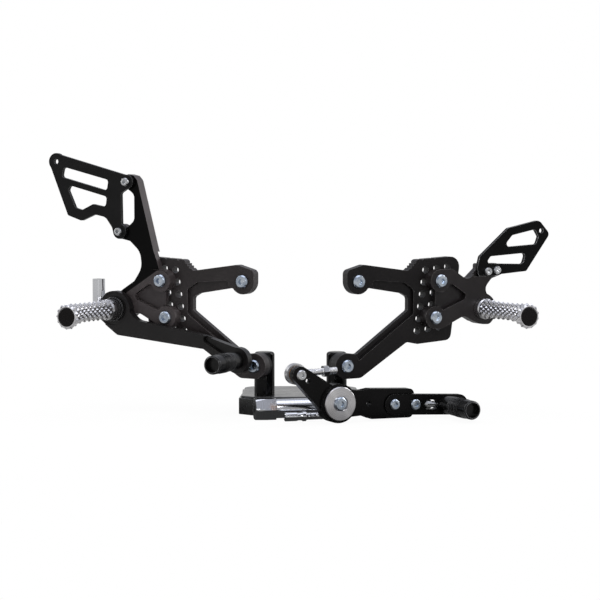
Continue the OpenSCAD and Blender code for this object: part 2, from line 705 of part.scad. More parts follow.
module hub_disc() {
    color(silver) on_lever() difference() {
        union() {
            disc([0, 0], disc_r, 0, disc_t - 0.6);
            at([0, 0], disc_t - 0.6) cylinder(r1 = disc_r, r2 = disc_r - 0.6, h = 0.6);
        }
        disc([0, 0], m8_r + run_gap, -1, disc_t + 1);
        disc([0, 0], m8_head_r + 1.1, disc_t - 1.4, disc_t + 1);
    }
}

module pivot_bolt() {
    seat = disc_t - 1.4;
    color(zinc) on_lever() at([0, 0], seat)
        screw(m8_head_r, low_head_h - 0.6, m8_r, hub_t + 12, m8_r - 0.4, 2, hub_t + 3 + seat);
}

// Places children along the sloping right arm, measured from the extension's inner bolt.
module along_arm(x, z = 0) { on_lever() at(ext_c, z) rotate(-arm_drop) translate([x, 0, 0]) children(); }

module shift_extension() {
    color(black) along_arm(0, ext_back) difference() {
        slot([0, 0], [ext_len, 0], 2 * ext_r, 0, ext_t);
        for (i = [0, 1]) translate([i * ext_bolt_gap, 0, -1]) cylinder(r = m5_r + 0.2, h = ext_t + 2);
        slot([window_u, 0], [window_u + 6.4, 0], 2 * window_r, -1, ext_t + 1);
        translate([window_u + 9, 0, ext_t / 2]) rotate([0, 90, 0]) cylinder(r = m5_tap_r, h = 6.5);
        translate([toe_from_bolt, 0, -1]) cylinder(r = 3.3, h = ext_t + 2);
    }
}

module extension_bolts() {
    color(zinc) for (i = [0, 1])
        along_arm(i * ext_bolt_gap, ext_back + ext_t) screw(5.2, 2.8, m5_r, ext_t,
            m5_tap_r - thread_gap, 5.2);
}

module shift_toe_peg() { color(black) along_arm(toe_from_bolt, ext_back + ext_t) toe_peg(shift_toe_len); }

module shift_toe_bolt() {
    color(silver) along_arm(toe_from_bolt, ext_back) rotate([180, 0, 0]) screw(5.4, 3.2, 3, ext_t,
        2.55, 14);
}

// Short screw that lies in the extension's window and locks the toe peg. Its head is domed.
module toe_clamp_screw() {
    color(silver) along_arm(window_u + 7.7, ext_back + ext_t / 2) rotate([0, -90, 0]) {
        cylinder(r = 3, h = 4.1 + eps);
        translate([0, 0, 4.1]) cylinder(r = 4.3, h = 5);
        translate([0, 0, 9.1 - eps]) cylinder(r1 = 4.3, r2 = 2.4, h = 1.9);
        translate([0, 0, -7]) cylinder(r = m5_tap_r - thread_gap, h = 7 + eps);
    }
}

// Places children at the ball's middle, with x along the stud.
module at_eye() { on_lever() at(eye_c, ball_z) rotate(stud_rise) children(); }

module rod_end_housing() {
    w = 6.4;
    color(silver) at_eye() difference() {
        union() {
            translate([0, 0, -w / 2]) cylinder(r = eye_r, h = w);
            translate([race_r + 0.4, 0, 0]) rotate([0, 90, 0]) cylinder(r1 = 3.2, r2 = stud_r + 0.4, h = 9);
            translate([race_r + 4, 0, 0]) rotate([0, 90, 0]) cylinder(r = stud_r,
                h = stud_len - race_r - 4);
        }
        cylinder(r = race_r, h = 20, center = true);
        translate([nut_at + 5, 0, 0]) rotate([0, -90, 0]) relief(stud_r);
    }
}

module rod_end_race() {
    w = 6;
    color(bronze) at_eye() difference() {
        cylinder(r = race_r, h = w, center = true);
        sphere(r = ball_r + run_gap);
        cylinder(r = sqrt(ball_r * ball_r - w * w / 4) + 0.2, h = w + 1, center = true);
    }
}

module rod_end_ball() {
    color(silver) at_eye() difference() {
        union() {
            intersection() {
                sphere(r = ball_r);
                cylinder(r = ball_r + 1, h = ball_w, center = true);
            }
            cylinder(r = stud_r + 1.6, h = ball_w, center = true);
        }
        cylinder(r = stud_r + run_gap, h = ball_w + 2, center = true);
    }
}

module rod_end_bolt() {
    color(zinc) on_lever() at(eye_c, lever_front) screw(5, 3, stud_r, lever_t + ball_w + 7,
        stud_r - 0.4, 1);
}

module rod_end_nut() {
    color(zinc) on_lever() difference() {
        at(eye_c, lever_back - ball_w - 5) cylinder(d = 11.5, h = 5, $fn = 6);
        disc(eye_c, stud_r + run_gap, -60, 0);
    }
}

module lock_nut() {
    color(zinc) at_eye() translate([nut_at, 0, 0]) rotate([0, 90, 0]) difference() {
        cylinder(d = 11.5, h = 5, $fn = 6);
        translate([0, 0, -1]) cylinder(r = stud_r + run_gap, h = 9);
    }
}

bar_turn = 12.5;         // slant of the loose rods across the table
module extension_bar() {
    color(silver) translate([-43.8, hub_y + 28.5, hex_af / 2]) rotate([0, 90, bar_turn]) difference() {
        union() {
            rotate(0) intersection() {
                rotate(30) cylinder(d = hex_af / cos(30), h = hex_len, $fn = 6);
                cylinder(r1 = hex_af * 0.53, r2 = hex_af * 0.62, h = hex_len);
            }
            cylinder(r = bar_r, h = bar_len - 1);
            translate([0, 0, bar_len - 1 - eps]) cylinder(r1 = bar_r, r2 = bar_r - 1, h = 1);
        }
        translate([0, 0, -1]) cylinder(r = 2.6, h = 19);
    }
}

module adjuster_rod() {
    color(silver) translate([-15, hub_y + 12.5, collar_r]) rotate([0, 90, bar_turn + 3]) difference() {
        rotate_extrude() polygon(concat([[0, 0], [3.6, 0], [4.2, 0.6], [4.2, 12], [3.7, 12.6],
            [3.7, 17], [collar_r, 17.4],
            [collar_r, 20.6], [3.4, 21]],
            [for (i = [0:9], k = [0, 1]) [3.4 - 0.5 * k, 22 + i * 2 + k]], [[3.2, 43],
            [3.2, adjuster_len - 1], [2.4, adjuster_len], [0, adjuster_len]]));
        translate([0, 0, -1]) cylinder(r = 2.1, h = 9);
    }
}

base_block();
post(-1);  // left_post
post(1);  // right_post
spacer(-1);  // left_spacer
spacer(1);  // right_spacer
frame_bracket(-1);  // left_frame_bracket
frame_bracket(1);  // right_frame_bracket
frame_bolts(-1);  // left_frame_bolts
frame_bolts(1);  // right_frame_bolts
left_peg_carrier();
right_peg_carrier();
carrier_bolts(-1);  // left_carrier_bolts
carrier_bolts(1);  // right_carrier_bolts
left_heel_guard();
right_heel_guard();
guard_bolts(-1);  // left_guard_bolts
guard_bolts(1);  // right_guard_bolts
foot_peg(-1);  // left_foot_peg
foot_peg(1);  // right_foot_peg
peg_cap(-1);  // left_peg_cap
peg_cap(1);  // right_peg_cap
peg_bolt(-1);  // left_peg_bolt
peg_bolt(1);  // right_peg_bolt
pedal_washer();
brake_pedal();
pedal_bush();
brake_toe_peg();
brake_toe_bolt();
push_rod_fork();
fork_pin();
shift_lever();
front_hub_bearing();
rear_hub_bearing();
pivot_sleeve();
hub_disc();
pivot_bolt();
shift_extension();
extension_bolts();
shift_toe_peg();
shift_toe_bolt();
toe_clamp_screw();
rod_end_housing();
rod_end_race();
rod_end_ball();
rod_end_bolt();
rod_end_nut();
lock_nut();
extension_bar();
adjuster_rod();
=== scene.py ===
"""Looks of the adjustable rear sets: two brackets on a base, a brake pedal and a loose shift lever."""

from __future__ import annotations

import json
import logging
import math
from dataclasses import dataclass, field
from enum import Enum
from typing import Sequence

import bmesh
import bpy
from mathutils import Matrix, Vector

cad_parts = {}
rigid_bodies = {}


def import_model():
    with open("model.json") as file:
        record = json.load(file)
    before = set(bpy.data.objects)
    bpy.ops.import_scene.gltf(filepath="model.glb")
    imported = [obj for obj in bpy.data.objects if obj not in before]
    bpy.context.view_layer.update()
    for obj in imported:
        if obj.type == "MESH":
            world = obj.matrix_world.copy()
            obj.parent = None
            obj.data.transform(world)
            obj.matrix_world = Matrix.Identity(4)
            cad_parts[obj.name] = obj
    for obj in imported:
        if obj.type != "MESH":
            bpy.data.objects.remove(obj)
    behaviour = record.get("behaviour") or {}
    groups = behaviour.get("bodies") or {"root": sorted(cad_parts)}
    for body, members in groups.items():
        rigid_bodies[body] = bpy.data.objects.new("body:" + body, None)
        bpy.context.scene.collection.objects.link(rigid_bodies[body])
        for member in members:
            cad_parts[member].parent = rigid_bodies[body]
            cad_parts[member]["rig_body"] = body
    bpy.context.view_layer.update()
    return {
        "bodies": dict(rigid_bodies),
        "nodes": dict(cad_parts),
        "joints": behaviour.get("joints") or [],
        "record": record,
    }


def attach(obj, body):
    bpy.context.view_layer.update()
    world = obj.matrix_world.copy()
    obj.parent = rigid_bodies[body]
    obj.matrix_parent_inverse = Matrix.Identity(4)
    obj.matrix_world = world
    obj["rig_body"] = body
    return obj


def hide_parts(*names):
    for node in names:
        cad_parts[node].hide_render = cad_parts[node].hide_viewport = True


LOG = logging.getLogger("rear_sets")

MM = 0.001
UP = (0.0, 0.0, 1.0)
FULL_TURN = 2 * math.pi
IMAGE_SIZE = 600

# The angle that both sides toe out by, and places in millimetres: a post and the lever's hub on the table,
# the left carrier's upper bolt and the foot pegs' roots on their brackets.
TOE_OUT = math.radians(25.0)
POST = (35.5, -26.5)
BRACKET_REACH = 23.0
BRACKET_HEIGHT = 48.0
HUB = (36.7, -106.0, 18.8)
CARRIER_BOLT = (97.3, 81.6, 12.0)
PEG_ROOT = (145.5, 53.0)

# What counts as one vertex, as one flat face, as a sharp edge of a solid and as one of a dressed piece.
WELD_DISTANCE = 0.000002
FLAT_ANGLE = math.radians(0.4)
SHARP_ANGLE = math.radians(28.0)
SMOOTH_ANGLE = math.radians(38.0)
FACE_WEIGHT = 90
CHAMFER = "chamfer"

# Shares of a foot peg's grip at which its waist begins and its flare starts.
WAIST_SHARE = 0.5
FLARE_START = 0.55

Triple = tuple[float, float, float]
Colour = Triple
Ramp = tuple[float, float, float, float]
Material = bpy.types.Material
Node = bpy.types.Node
NodeTree = bpy.types.NodeTree
Socket = bpy.types.NodeSocket


# Places on the object


@dataclass(frozen=True)
class Datum:
    """A local frame in millimetres: u across, v up, n out of the part."""

    origin: Triple
    u: Triple
    v: Triple
    n: Triple

    def matrix(self) -> Matrix:
        """Return the matrix from local millimetres to metres in the row frame."""
        columns = [Vector(part) * MM for part in (self.u, self.v, self.n, self.origin)]
        rows = [[column[i] for column in columns] for i in range(3)]
        return Matrix(rows + [[0.0, 0.0, 0.0, 1.0]])

    def centre(self) -> Triple:
        """Return the frame's origin in metres."""
        return tuple(Vector(self.origin) * MM)

    def moved(self, u: float, v: float, n: float) -> Datum:
        """Return the same frame with its origin at a local point."""
        place = (self.matrix() @ Vector((u, v, n))) * (1.0 / MM)
        return Datum(tuple(place), self.u, self.v, self.n)

    def along(self, direction: Triple, side: Triple) -> Datum:
        """Return a frame at the same origin whose n runs along a local direction.

        Args:
            direction: local direction that becomes n.
            side: local direction that becomes u, square to direction.

        Returns:
            The turned frame.
        """
        turn = self.matrix().to_3x3() * (1.0 / MM)
        new_n = (turn @ Vector(direction)).normalized()
        new_u = (turn @ Vector(side)).normalized()
        new_v = new_n.cross(new_u)
        return Datum(self.origin, tuple(new_u), tuple(new_v), tuple(new_n))


def toed_datum(place: Triple, k: float = 1.0) -> Datum:
    """Return a frame that is toed out at a place, mirrored to the left side where k is -1."""
    s, c = math.sin(TOE_OUT), math.cos(TOE_OUT)
    return Datum(place, (k * c, s, 0.0), UP, (k * s, -c, 0.0))


def floor_datum(place: Triple, turn: float) -> Datum:
    """Return the frame of a rod that lies on the table, with n along the rod.

    Args:
        place: the near end of the rod's axis, in millimetres.
        turn: slant across the table, in degrees.

    Returns:
        The rod's frame.
    """
    a = math.radians(turn)
    return Datum(place, (-math.sin(a), math.cos(a), 0.0), UP, (math.cos(a), math.sin(a), 0.0))


class Side(Enum):
    """The two sides of the pair, by the sign of X."""

    LEFT = -1
    RIGHT = 1

    @property
    def word(self) -> str:
        """Return the side's name as it stands in the node names."""
        return self.name.lower()

    def bracket(self) -> Datum:
        """Return the bracket's frame at its lower mounting bolt."""
        k = float(self.value)
        x = POST[0] + BRACKET_REACH * math.sin(TOE_OUT)
        y = POST[1] - BRACKET_REACH * math.cos(TOE_OUT)
        return toed_datum((k * x, y, BRACKET_HEIGHT), k)


# Node wiring


class Wiring:
    """Adds and joins the nodes of one shader or geometry tree."""

    def __init__(self, tree: NodeTree) -> None:
        """Keep the tree to work on."""
        self.tree = tree

    def add(self, kind: str, **settings: object) -> Node:
        """Add a node of a type and set its plain properties."""
        node = self.tree.nodes.new(kind)
        for name, value in settings.items():
            setattr(node, name, value)
        return node

    def put(self, socket: Socket, value: object) -> None:
        """Join a socket to value, or set it where value is plain."""
        if isinstance(value, Socket):
            self.tree.links.new(value, socket)
        else:
            socket.default_value = value

    def fill(self, node: Node, *values: object, **named: object) -> Node:
        """Put values into a node's first inputs, or into named ones, and return the node.

        A name has underscores for spaces.
        """
        for socket, value in zip(node.inputs, values):
            self.put(socket, value)
        for name, value in named.items():
            self.put(node.inputs[name.replace("_", " ")], value)
        return node

    def use(self, group: NodeTree, **values: object) -> bpy.types.NodeOutputs:
        """Place a shared group, fill its inputs by name and return its outputs."""
        return self.fill(self.add("ShaderNodeGroup", node_tree=group), **values).outputs

    def math(self, operation: str, *values: object, clamp: bool = False) -> Socket:
        """Add a Math node and return its result."""
        return self.fill(self.add("ShaderNodeMath", operation=operation, use_clamp=clamp), *values).outputs[0]

    def plus(self, first: object, second: object) -> Socket:
        """Return a sum."""
        return self.math("ADD", first, second)

    def minus(self, first: object, second: object) -> Socket:
        """Return a difference."""
        return self.math("SUBTRACT", first, second)

    def times(self, first: object, second: object) -> Socket:
        """Return a product."""
        return self.math("MULTIPLY", first, second)

    def over(self, first: object, second: object) -> Socket:
        """Return a quotient."""
        return self.math("DIVIDE", first, second)

    def most(self, first: object, *others: object) -> Socket:
        """Return the greatest of several values."""
        for other in others:
            first = self.math("MAXIMUM", first, other)
        return first

    def vector(self, operation: str, *values: object) -> bpy.types.NodeOutputs:
        """Add a Vector Math node and return its outputs."""
        return self.fill(self.add("ShaderNodeVectorMath", operation=operation), *values).outputs

    def dot(self, first: object, second: object) -> Socket:
        """Return the dot product of two vectors."""
        return self.vector("DOT_PRODUCT", first, second)["Value"]

    def combine(self, *parts: object) -> Socket:
        """Join three numbers into a vector."""
        return self.fill(self.add("ShaderNodeCombineXYZ"), *parts).outputs[0]

    def noise(self, place: object, scale: object, detail: float, dimensions: str = "3D") -> Socket:
        """Add a Noise Texture and return its value."""
        node = self.add("ShaderNodeTexNoise", noise_dimensions=dimensions)
        self.put(node.inputs["W" if dimensions == "1D" else "Vector"], place)
        return self.fill(node, Scale=scale, Detail=detail).outputs[0]

    def spread(
        self, value: object, low: object, high: object, to_low: object = 0.0, to_high: object = 1.0
    ) -> Socket:
        """Map value from one range to another, clamped, and return the result."""
        node = self.add("ShaderNodeMapRange", clamp=True)
        return self.fill(node, value, low, high, to_low, to_high).outputs[0]

    def blend(self, factor: object, first: object, second: object) -> Socket:
        """Mix two colours and return the result."""
        node = self.add("ShaderNodeMix", data_type="RGBA")
        self.put(node.inputs["Factor"], factor)
        for socket, colour in zip(node.inputs[6:8], (first, second)):
            self.put(socket, colour if isinstance(colour, Socket) else (*colour, 1.0))
        return node.outputs[2]

    def bump(self, height: object, strength: float, distance: float) -> Socket:
        """Return the normal that a height gives."""
        node = self.fill(self.add("ShaderNodeBump"), Strength=strength, Distance=distance, Height=height)
        return node.outputs["Normal"]


# Kinds of finish


class ShaderGroups:
    """The effects that several finishes share, each built once as a node group."""

    def __init__(self) -> None:
        """Build every group."""
        self.blast = self._blast_grain()
        self.handling = self._handling()
        self.turning = self._turning_marks()
        self.edges = self._worn_edges()

    @staticmethod
    def _group(
        name: str, inputs: dict[str, float | None], *outputs: str
    ) -> tuple[Wiring, bpy.types.NodeOutputs, bpy.types.NodeInputs]:
        """Make an empty group with named sockets.

        Args:
            name: the group's name.
            inputs: number sockets with their defaults, and vector sockets with None.
            outputs: number sockets.

        Returns:
            The group's wiring, what it is given and what it gives.
        """
        tree = bpy.data.node_groups.new(name, "ShaderNodeTree")
        for label, default in inputs.items():
            kind = "NodeSocketVector" if default is None else "NodeSocketFloat"
            socket = tree.interface.new_socket(label, in_out="INPUT", socket_type=kind)
            if default is not None:
                socket.default_value = default
        for label in outputs:
            tree.interface.new_socket(label, in_out="OUTPUT", socket_type="NodeSocketFloat")
        w = Wiring(tree)
        return w, w.add("NodeGroupInput").outputs, w.add("NodeGroupOutput").inputs

    def _blast_grain(self) -> NodeTree:
        """Fine grain of bead-blasted and anodised aluminium: a height and a mask."""
        inputs = {"Place": None, "Grains per Metre": 2600.0}
        w, given, gives = self._group("blast_grain", inputs, "Height", "Mask")
        place, grains = given["Place"], given["Grains per Metre"]
        fine = w.noise(place, grains, 2.0)
        coarse = w.noise(place, w.times(grains, 0.31), 3.0)
        both = w.plus(w.times(fine, 0.65), w.times(coarse, 0.35))
        w.put(gives["Height"], both)
        w.put(gives["Mask"], w.spread(both, 0.42, 0.6))
        return w.tree

    def _handling(self) -> NodeTree:
        """Soft clouds from handling and dust: a mask that varies over centimetres, and specks."""
        inputs = {"Place": None, "Patches per Metre": 38.0}
        w, given, gives = self._group("handling", inputs, "Mask", "Specks")
        place, patches = given["Place"], given["Patches per Metre"]
        w.put(gives["Mask"], w.spread(w.noise(place, patches, 5.0), 0.38, 0.64))
        w.put(gives["Specks"], w.spread(w.noise(place, w.times(patches, 34.0), 1.0), 0.72, 0.8))
        return w.tree

    def _turning_marks(self) -> NodeTree:
        """Fine lines that a lathe leaves round an axis: a height and a mask."""
        inputs = {"Place": None, "Centre": None, "Axis": None, "Lines per Metre": 3200.0}
        w, given, gives = self._group("turning_marks", inputs, "Height", "Mask")
        offset = w.vector("SUBTRACT", given["Place"], given["Centre"])[0]
        along = w.dot(offset, given["Axis"])
        reach = w.vector("LENGTH", offset)["Value"]
        radial = w.math("SQRT", w.most(w.minus(w.times(reach, reach), w.times(along, along)), 0.0))
        line = w.plus(along, radial)
        marks = w.noise(line, given["Lines per Metre"], 4.0, "1D")
        broad = w.noise(line, w.times(given["Lines per Metre"], 0.12), 2.0, "1D")
        w.put(gives["Height"], w.plus(w.times(marks, 0.7), w.times(broad, 0.3)))
        w.put(gives["Mask"], w.spread(marks, 0.35, 0.65))
        return w.tree

    def _worn_edges(self) -> NodeTree:
        """Machined chamfers, from the piece's own attribute, broken up by a little noise."""
        w, given, gives = self._group("worn_edges", {"Place": None, "Amount": 0.6}, "Mask")
        edge = w.add("ShaderNodeAttribute", attribute_name=CHAMFER, attribute_type="GEOMETRY").outputs["Fac"]
        broken = w.spread(w.noise(given["Place"], 240.0, 4.0), 0.35, 0.6, 0.55, 1.0)
        w.put(gives["Mask"], w.math("MULTIPLY", w.times(edge, broken), given["Amount"], clamp=True))
        return w.tree


@dataclass(frozen=True)
class Finish:
    """What every finish has: a name, a colour and a roughness."""

    name: str
    colour: Colour
    roughness: float

    def start(self) -> tuple[Material, Wiring, Node, Socket]:
        """Make the material with its Principled shader and Object coordinates.

        Returns:
            The material, its wiring, the shader node and the coordinate socket.
        """
        material = bpy.data.materials.new(self.name)
        material.use_nodes = True
        material.diffuse_color = (*self.colour, 1.0)
        w = Wiring(material.node_tree)
        return material, w, w.tree.nodes["Principled BSDF"], w.add("ShaderNodeTexCoord").outputs["Object"]

    def rough(self, w: Wiring, mask: Socket, low: float, high: float) -> Socket:
        """Let a mask vary the roughness between two shares of it."""
        return w.spread(mask, 0.0, 1.0, self.roughness * low, self.roughness * high)

    def shade(self, share: float) -> Colour:
        """Return the colour made darker."""
        return tuple(c * share for c in self.colour)

    def build(self, groups: ShaderGroups) -> Material:
        """Make the material; each kind of finish does it its own way."""
        raise NotImplementedError


@dataclass(frozen=True)
class Anodised(Finish):
    """Dyed anodised aluminium: satin, fine-grained, a little paler on its machined chamfers."""

    edge: Colour = (0.16, 0.155, 0.155)
    edge_amount: float = 0.7
    edge_polish: float = 0.45
    edge_metal: float = 0.55
    specular: float = 0.42
    warmth: float = 1.5
    lift: float = 0.002
    clouds: float = 0.6
    grain: float = 0.25
    grain_depth: float = 0.000012

    def build(self, groups: ShaderGroups) -> Material:
        """Make the anodised material."""
        material, w, shader, place = self.start()
        grain = w.use(groups.blast, Place=place)
        touch = w.use(groups.handling, Place=place)["Mask"]
        worn = w.use(groups.edges, Place=place, Amount=self.edge_amount)["Mask"]
        warm = tuple(min(1.0, c * self.warmth + self.lift) for c in self.colour)
        body = w.blend(w.times(touch, self.clouds), self.colour, warm)
        body = w.blend(w.times(grain["Mask"], self.grain), body, warm)
        rough = w.minus(self.rough(w, touch, 0.86, 1.14), w.times(worn, self.roughness * self.edge_polish))
        w.fill(shader, Base_Color=w.blend(worn, body, self.edge), Roughness=rough)
        w.fill(shader, Metallic=w.times(worn, self.edge_metal), Specular_IOR_Level=self.specular)
        w.fill(shader, Normal=w.bump(grain["Height"], 0.5, self.grain_depth))
        return material


@dataclass(frozen=True)
class StemmedAnodised(Anodised):
    """Anodised plate with painted shade on the front of its stem, above a capsule-ended pad: a deeper black
    and weaker gloss stand in for a face set back in shade.

    The pad ends in an arc round one bolt and in a straight edge that runs on from it.
    """

    bolt: Datum = field(kw_only=True)
    slope: float = 32.7
    pad: float = 10.5
    blur: float = 0.2
    # Painted shade: colour and specular level of the stem's front, standing in for shade on a face further
    # back.
    stem: Colour = (0.001, 0.0009, 0.0009)
    stem_specular: float = 0.1

    def build(self, groups: ShaderGroups) -> Material:
        """Make the plate's material and paint shade on the front of its stem."""
        material = super().build(groups)
        w = Wiring(material.node_tree)
        shader = w.tree.nodes["Principled BSDF"]
        place = w.add("ShaderNodeTexCoord").outputs["Object"]
        arm = w.vector("SUBTRACT", place, self.bolt.centre())[0]
        a = math.radians(self.slope)
        out, up = Vector(self.bolt.u), Vector(self.bolt.v)
        inner = w.math("MINIMUM", w.dot(arm, out * math.cos(a) - up * math.sin(a)), 0.0)
        across = w.dot(arm, out * math.sin(a) + up * math.cos(a))
        reach = w.math("SQRT", w.plus(w.times(inner, inner), w.times(across, across)))
        reach = w.times(reach, w.math("GREATER_THAN", across, 0.0))
        shaded_stem = w.spread(reach, (self.pad - self.blur) * MM, (self.pad + self.blur) * MM)
        normal = w.add("ShaderNodeNewGeometry").outputs["True Normal"]
        # Painted shade: front-facing faces beyond the pad take the stem's darker colour and weaker gloss.
        dark = w.times(shaded_stem, w.math("GREATER_THAN", w.dot(normal, self.bolt.n), 0.9))
        body = shader.inputs["Base Color"].links[0].from_socket
        specular = w.spread(dark, 0.0, 1.0, self.specular, self.stem_specular)
        w.fill(shader, Base_Color=w.blend(dark, body, self.stem), Specular_IOR_Level=specular)
        return material


@dataclass(frozen=True)
class TurnedMetal(Finish):
    """Bright metal turned on a lathe round an axis of its own."""

    datum: Datum
    lines: float = 3200.0
    dirt: float = 0.25
    depth: float = 0.000008
    streak: float = 0.0

    def build(self, groups: ShaderGroups) -> Material:
        """Make the turned metal."""
        material, w, shader, place = self.start()
        centre = self.datum.centre()
        if self.streak:
            arm = w.vector("SUBTRACT", place, centre)[0]
            turn = w.add("ShaderNodeVectorTransform", vector_type="VECTOR")
            turn.convert_from, turn.convert_to = "OBJECT", "WORLD"
            w.fill(shader, Tangent=w.fill(turn, arm).outputs[0], Anisotropic=self.streak)
        axis = {"Centre": centre, "Axis": self.datum.n}
        marks = w.use(groups.turning, Place=place, Lines_per_Metre=self.lines, **axis)
        touch = w.use(groups.handling, Place=place)["Mask"]
        dark = self.shade(0.62)
        tone = w.blend(w.times(marks["Mask"], 0.35), self.colour, dark)
        tone = w.blend(w.times(touch, self.dirt), tone, dark)
        w.fill(shader, Base_Color=tone, Metallic=1.0, Roughness=self.rough(w, marks["Mask"], 0.7, 1.3))
        w.fill(shader, Normal=w.bump(marks["Height"], 0.6, self.depth))
        return material


@dataclass(frozen=True)
class PlatedSteel(Finish):
    """Zinc or nickel plate on a screw: bright, with soft clouds and tiny specks."""

    tint: Colour
    tint_amount: float = 0.6

    def build(self, groups: ShaderGroups) -> Material:
        """Make the plated steel."""
        material, w, shader, place = self.start()
        touch = w.use(groups.handling, Place=place, Patches_per_Metre=190.0)
        grain = w.use(groups.blast, Place=place, Grains_per_Metre=5200.0)
        tone = w.blend(w.times(touch["Mask"], self.tint_amount), self.colour, self.tint)
        tone = w.blend(w.times(touch["Specks"], 0.6), tone, self.shade(0.4))
        w.fill(shader, Base_Color=tone, Metallic=1.0, Roughness=self.rough(w, touch["Mask"], 0.8, 1.35))
        w.fill(shader, Normal=w.bump(grain["Height"], 0.4, 0.000006))
        return material


@dataclass(frozen=True)
class GlossPaint(Finish):
    """Deep gloss black of the display base, with a faint orange peel."""

    edge: Colour = (0.2, 0.2, 0.21)
    coat: float = 0.8
    coat_roughness: float = 0.06

    def build(self, groups: ShaderGroups) -> Material:
        """Make the gloss paint."""
        material, w, shader, place = self.start()
        touch = w.use(groups.handling, Place=place, Patches_per_Metre=55.0)["Mask"]
        worn = w.use(groups.edges, Place=place, Amount=0.25)["Mask"]
        peel = w.noise(place, 420.0, 2.0)
        rough = self.rough(w, touch, 1.0, 1.8)
        w.fill(shader, Base_Color=w.blend(worn, self.colour, self.edge), Roughness=rough)
        w.fill(shader, Coat_Weight=self.coat, Coat_Roughness=self.coat_roughness)
        w.fill(shader, Normal=w.bump(peel, 0.25, 0.00002))
        return material


# Repeats, made with Geometry Nodes


class RepeatTree:
    """A geometry tree with named inputs that ends in real, dressed geometry."""

    def __init__(self, name: str, counts: Sequence[str], sizes: Sequence[str]) -> None:
        """Make the tree's sockets and its first and last nodes.

        Args:
            name: the tree's name.
            counts: names of the inputs that are whole numbers.
            sizes: names of the other number inputs.
        """
        tree = bpy.data.node_groups.new(name, "GeometryNodeTree")
        sockets = tree.interface
        sockets.new_socket("Geometry", in_out="INPUT", socket_type="NodeSocketGeometry")
        self.names: dict[str, str] = {}
        for kind, labels in (("Int", counts), ("Float", sizes), ("Material", ("Material",))):
            for label in labels:
                socket = sockets.new_socket(label, in_out="INPUT", socket_type=f"NodeSocket{kind}")
                self.names[label] = socket.identifier
        sockets.new_socket("Geometry", in_out="OUTPUT", socket_type="NodeSocketGeometry")
        self.w = Wiring(tree)
        self.start = self.w.add("NodeGroupInput")
        self.end = self.w.add("NodeGroupOutput")

    def value(self, label: str) -> Socket:
        """Return an input's socket inside the tree."""
        return self.start.outputs[label]

    def places(self) -> tuple[Socket, Socket]:
        """Return each point's row and its column round the axis."""
        w, around = self.w, self.value("Around")
        index = w.add("GeometryNodeInputIndex").outputs[0]
        row = w.math("FLOOR", w.over(w.plus(index, 0.5), around))
        return row, w.minus(index, w.times(row, around))

    def pyramid(self, width: Socket, taper: float, depth: Socket) -> Socket:
        """Return a four-sided pyramid whose top is a share of its width."""
        cone = self.w.add("GeometryNodeMeshCone", fill_type="NGON")
        self.w.fill(cone, Vertices=4, Radius_Bottom=width, Radius_Top=self.w.times(width, taper), Depth=depth)
        return cone.outputs["Mesh"]

    def stand_round(
        self, form: Socket, scale: Socket, angle: Socket, radius: Socket, drop: object, height: Socket
    ) -> None:
        """Stand a form on every point round the axis, leaning outwards, and close the tree.

        Args:
            form: the geometry that repeats.
            scale: its stretch along the axis, round it and outwards.
            angle: the point's turn round the axis.
            radius: its distance from the axis.
            drop: how far it hangs against v.
            height: its place along the axis.
        """
        w = self.w
        across = w.times(radius, w.math("COSINE", angle))
        up = w.minus(w.times(radius, w.math("SINE", angle)), drop)
        count = w.times(self.value("Rows"), self.value("Around"))
        points = w.fill(w.add("GeometryNodePoints"), Count=count, Position=w.combine(across, up, height))
        turn = w.fill(w.add("FunctionNodeEulerToRotation"), w.combine(0.0, math.pi / 2, angle))
        stood = w.fill(w.add("GeometryNodeInstanceOnPoints"), Points=points.outputs[0], Instance=form)
        w.fill(stood, Rotation=turn.outputs[0], Scale=scale)
        self.close(stood.outputs[0])

    def close(self, instances: Socket) -> None:
        """Realise the instances and give them the tree's material."""
        w = self.w
        real = w.fill(w.add("GeometryNodeRealizeInstances"), instances).outputs[0]
        dressed = w.fill(w.add("GeometryNodeSetMaterial"), Geometry=real, Material=self.value("Material"))
        w.put(self.end.inputs[0], dressed.outputs[0])

    def make(self, name: str, datum: Datum, **values: object) -> bpy.types.Mesh:
        """Run the tree and return its result as a plain mesh in place.

        Args:
            name: the mesh's name.
            datum: frame that the tree's millimetres stand in.
            values: the tree's inputs by name, with underscores for spaces.

        Returns:
            The finished mesh, in metres.
        """
        carrier = placed(name + "_carrier", bpy.data.meshes.new(name + "_seed"))
        modifier = carrier.modifiers.new(name, "NODES")
        modifier.node_group = self.w.tree
        for label, value in values.items():
            modifier[self.names[label.replace("_", " ")]] = value
        carrier.update_tag()
        graph = bpy.context.evaluated_depsgraph_get()
        graph.update()
        mesh = bpy.data.meshes.new_from_object(carrier.evaluated_get(graph), depsgraph=graph)
        carrier.modifiers.remove(modifier)
        bpy.data.objects.remove(carrier)
        mesh.transform(datum.matrix())
        if datum.matrix().determinant() < 0:
            mesh.flip_normals()
        return mesh


